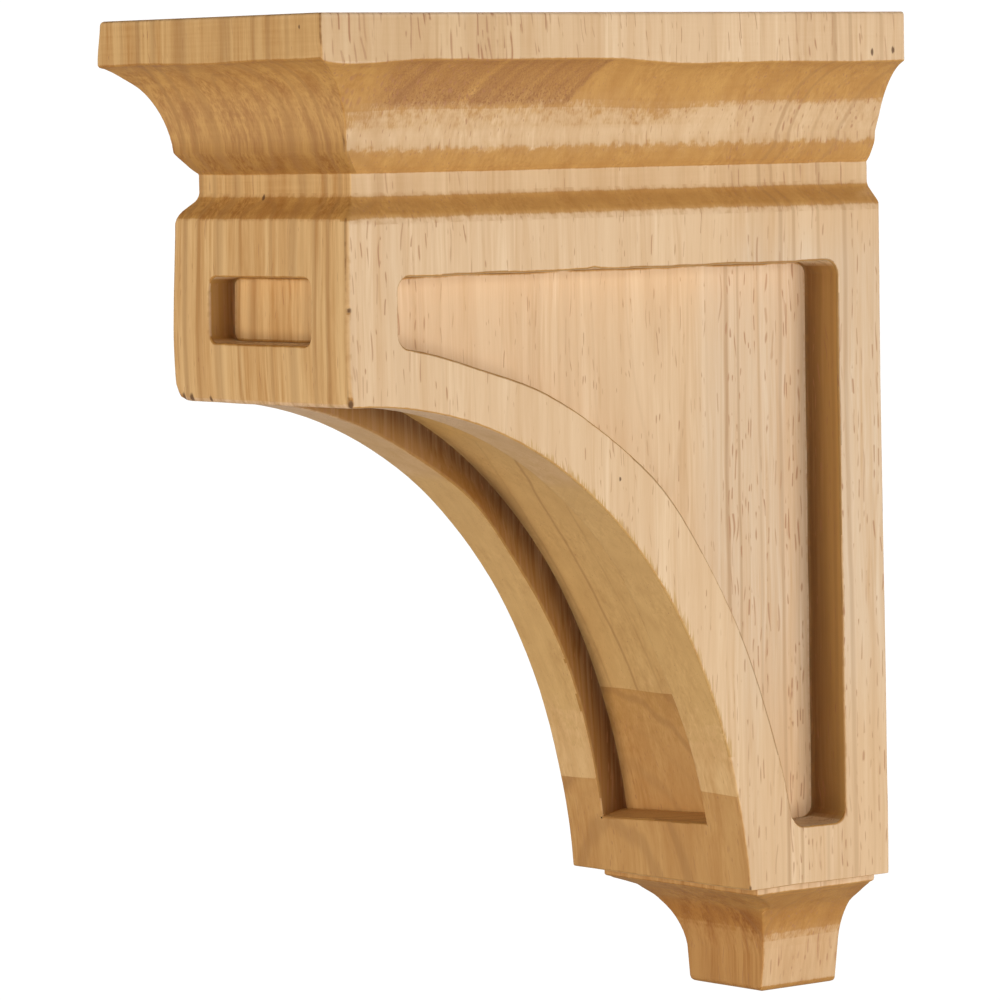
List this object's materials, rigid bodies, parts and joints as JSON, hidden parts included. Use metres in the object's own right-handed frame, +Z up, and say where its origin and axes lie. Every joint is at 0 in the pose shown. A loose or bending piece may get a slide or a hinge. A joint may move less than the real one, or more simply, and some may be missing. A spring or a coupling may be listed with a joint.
{
  "type": "bar bracket",
  "caption": "Carved hardwood corbel that carries a bar top's overhang: moulded cap, arched underside with a sunk channel, sunk panels and a coved drop.",
  "frame": {"origin": "middle of the back face that goes against the wall, at half the overall height", "axes": "+X to the right as seen from the front, +Y into the wall, +Z up; the front of the cap faces -Y"},
  "size_m": [0.1192, 0.2447, 0.33],
  "materials": {
    "hardwood": "sanded rubberwood, unfinished or thinly sealed, vertical grain with fine dark pores"
  },
  "bodies": {
    "root": {"bracket": "hardwood"}
  },
  "joints": []
}
